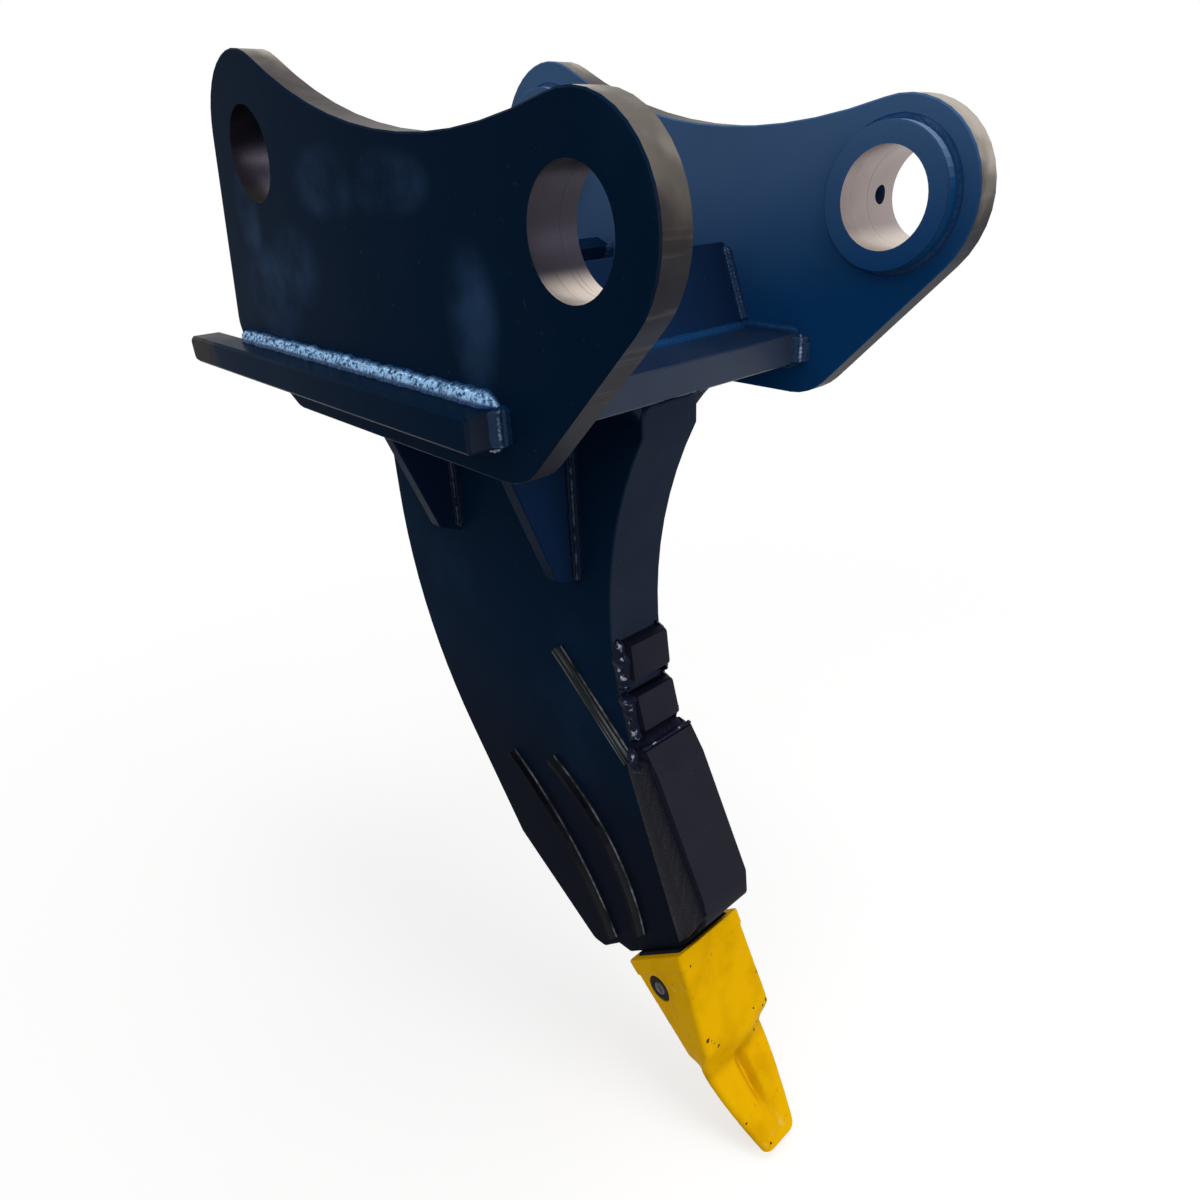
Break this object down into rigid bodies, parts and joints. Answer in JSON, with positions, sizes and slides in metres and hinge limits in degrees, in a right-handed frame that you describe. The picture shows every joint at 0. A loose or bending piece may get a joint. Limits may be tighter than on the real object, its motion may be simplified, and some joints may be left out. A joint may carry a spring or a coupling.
{
  "type": "ripper shank tooth",
  "caption": "Digging shank for an excavator: two pin ears on a base plate, a thick curved shank with wear blocks and strips, and a replaceable yellow tooth on its lower end.",
  "frame": {"origin": "on the front pin's axis, midway between the two ears", "axes": "+X to the digging side, +Y along the pins towards the left ear, +Z square to the base plate, up to the machine"},
  "size_m": [0.8115, 0.514, 1.3257],
  "materials": {
    "navy_paint": "gloss",
    "black_paint": "satin",
    "yellow_paint": "satin",
    "bare_steel": "brushed",
    "black_rubber": "matte"
  },
  "bodies": {
    "root": {"right_ear": "navy_paint", "left_ear": "navy_paint", "right_front_boss": "navy_paint", "right_rear_boss": "navy_paint", "left_front_boss": "navy_paint", "left_rear_boss": "navy_paint", "left_front_collar": "navy_paint", "left_rear_collar": "navy_paint", "base_plate": "navy_paint", "right_side_bar": "navy_paint", "left_side_bar": "navy_paint", "front_cross_plate": "navy_paint", "rear_cross_plate": "navy_paint", "shank": "navy_paint", "right_front_gusset": "navy_paint", "right_rear_gusset": "navy_paint", "left_front_gusset": "navy_paint", "left_rear_gusset": "navy_paint", "upper_wear_block": "black_paint", "lower_wear_block": "black_paint", "front_shroud": "black_paint", "right_upper_strip": "black_paint", "right_middle_strip": "black_paint", "right_lower_strip": "black_paint", "left_upper_strip": "black_paint", "left_middle_strip": "black_paint", "left_lower_strip": "black_paint", "tooth_nose": "black_paint", "tooth": "yellow_paint", "tooth_pin": "bare_steel", "right_lock_ring": "black_rubber", "left_lock_ring": "black_rubber"}
  },
  "joints": []
}
